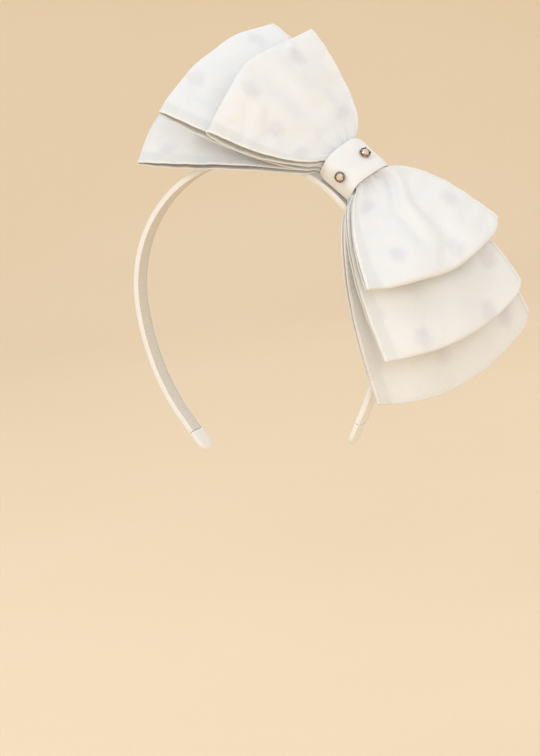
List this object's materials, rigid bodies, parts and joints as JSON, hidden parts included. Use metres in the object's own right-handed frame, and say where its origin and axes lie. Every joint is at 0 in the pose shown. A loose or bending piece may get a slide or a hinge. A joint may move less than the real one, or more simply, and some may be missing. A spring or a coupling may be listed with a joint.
{
  "type": "bow headband",
  "caption": "Slim ribbon-covered headband with a large three-tier looped fabric bow set to one side, gathered by a knot strap that carries two small set stones.",
  "frame": {"origin": "centre of the head that the band sits on, which is the centre of the crown arc, in the band's middle plane", "axes": "+Z from the head's centre up through the crown of the band, +X towards the side that carries the bow, +Y the other way from the bow's tilted face; the band lies in the XZ plane"},
  "size_m": [0.198, 0.1034, 0.2093],
  "materials": {
    "band_core": "matte",
    "satin_ribbon": "satin weave",
    "lining_ribbon": "ribbed weave",
    "organza": "fine sheer weave with pale dots",
    "loop_lining": "plain weave",
    "strap": "plain weave",
    "thread": "twisted thread",
    "glue": "semi-matte",
    "crystal": "faceted",
    "setting_metal": "darkened metal"
  },
  "bodies": {
    "root": {"crown_core": "band_core", "crown_ribbon": "satin_ribbon", "crown_lining": "lining_ribbon", "front_tier": "organza", "middle_tier": "organza", "back_tier": "organza", "front_tier_lining": "loop_lining", "middle_tier_lining": "loop_lining", "back_tier_lining": "loop_lining", "gather_thread": "thread", "knot_strap": "strap", "glue_bed": "glue", "near_stone": "crystal", "far_stone": "crystal", "near_setting": "setting_metal", "far_setting": "setting_metal"},
    "left_arm": {"left_arm_core": "band_core", "left_arm_ribbon": "satin_ribbon", "left_arm_lining": "lining_ribbon", "left_tip_pocket": "satin_ribbon"},
    "right_arm": {"right_arm_core": "band_core", "right_arm_ribbon": "satin_ribbon", "right_arm_lining": "lining_ribbon", "right_tip_pocket": "satin_ribbon"}
  },
  "joints": [
    {"name": "left_arm_flex", "type": "hinge", "parent": "root", "child": "left_arm", "pos_m": [-0.06598, 0, -0.02226], "axis": [0, 1, 0], "range_deg": [-8, 14], "stiffness_Nm_per_rad": 1.2},
    {"name": "right_arm_flex", "type": "hinge", "parent": "root", "child": "right_arm", "pos_m": [0.06598, 0, -0.02226], "axis": [0, -1, 0], "range_deg": [-8, 14], "stiffness_Nm_per_rad": 1.2}
  ]
}
